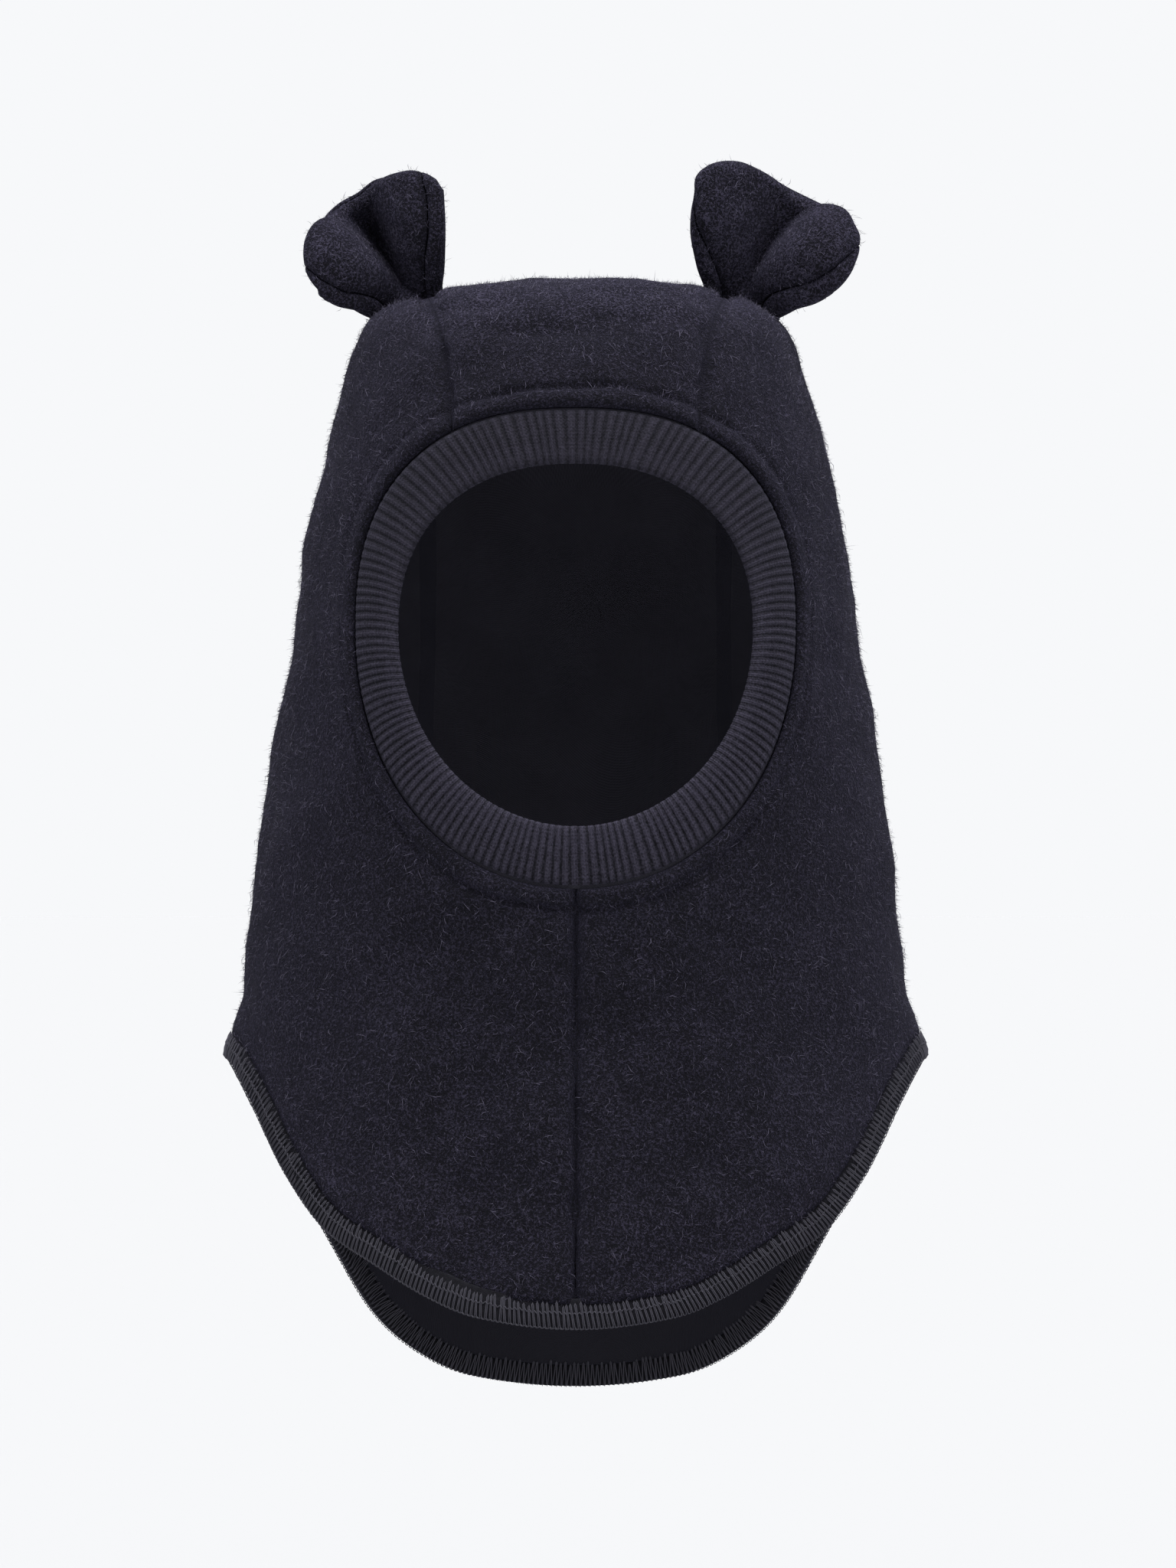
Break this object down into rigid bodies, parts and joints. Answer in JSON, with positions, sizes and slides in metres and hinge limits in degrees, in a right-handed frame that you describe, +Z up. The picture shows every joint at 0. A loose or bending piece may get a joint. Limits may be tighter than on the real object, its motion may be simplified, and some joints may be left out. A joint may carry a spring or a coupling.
{
  "type": "baby balaclava hat with ears",
  "caption": "Child's wool balaclava hat with folded ears on the crown, a ribbed knit band round the open face and an overlocked shirt-tail hem; jersey lined.",
  "frame": {"origin": "crown_seat: where the top of the wearer's head meets the lining, under the middle of the crown", "axes": "+Z up through the crown, -Y out of the face opening, +X to the right as seen from the front"},
  "size_m": [0.2166, 0.1627, 0.378],
  "materials": {
    "wool": "brushed, matt",
    "jersey": "fine knit, matt",
    "rib_knit": "ribbed knit, matt",
    "thread": "soft overlock thread"
  },
  "bodies": {
    "root": {"middle_panel": "wool", "side_panel_left": "wool", "side_panel_right": "wool", "lining": "jersey", "face_band": "rib_knit", "hem_overlock": "thread", "ear_left_back": "wool", "ear_left_front": "wool", "ear_right_back": "wool", "ear_right_front": "wool"}
  },
  "joints": []
}
